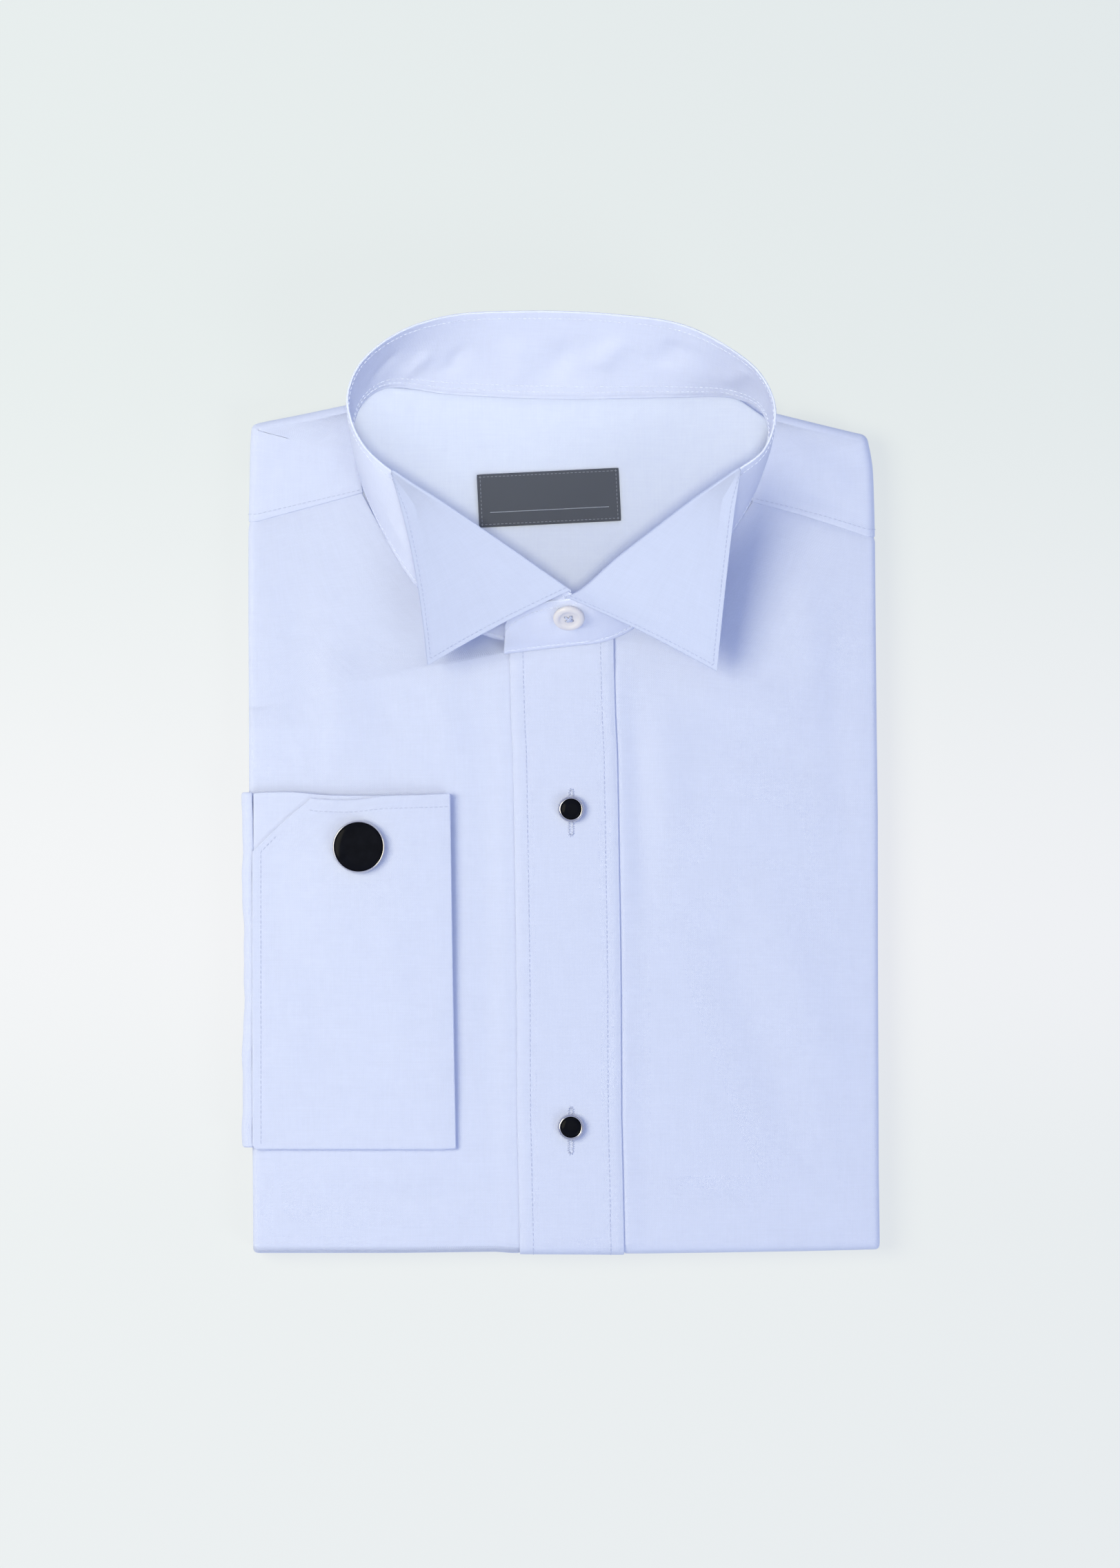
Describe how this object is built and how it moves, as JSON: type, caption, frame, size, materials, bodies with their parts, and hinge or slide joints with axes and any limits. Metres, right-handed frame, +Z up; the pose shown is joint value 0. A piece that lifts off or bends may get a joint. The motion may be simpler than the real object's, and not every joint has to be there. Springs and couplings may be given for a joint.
{
  "type": "folded long sleeve dress shirt",
  "caption": "Formal long sleeve dress shirt folded flat: open standing wing collar, flat placket closed with round studs, and a turned-back cuff with a cufflink laid on the front.",
  "frame": {"origin": "on the surface the folded shirt rests on, under the middle of its box", "axes": "+X towards the wearer's left, +Y along the packet from the bottom fold to the collar, +Z up out of the shirt's front"},
  "size_m": [0.231, 0.3406, 0.0486],
  "materials": {
    "cotton": "matte",
    "cotton_lining": "matte",
    "label_weave": "matte",
    "button_resin": "satin",
    "silver": "polished",
    "onyx": "polished"
  },
  "bodies": {
    "root": {"front_left": "cotton", "front_right": "cotton", "placket": "cotton", "yoke": "cotton", "yoke_lining": "cotton_lining", "hidden_layers": "cotton", "collar_band": "cotton", "collar_wing_left": "cotton", "collar_wing_right": "cotton", "right_cuff": "cotton", "right_sleeve": "cotton", "label": "label_weave", "collar_button": "button_resin", "stud_upper": "silver", "stud_upper_stone": "onyx", "stud_lower": "silver", "stud_lower_stone": "onyx", "cufflink": "silver", "cufflink_stone": "onyx"}
  },
  "joints": []
}
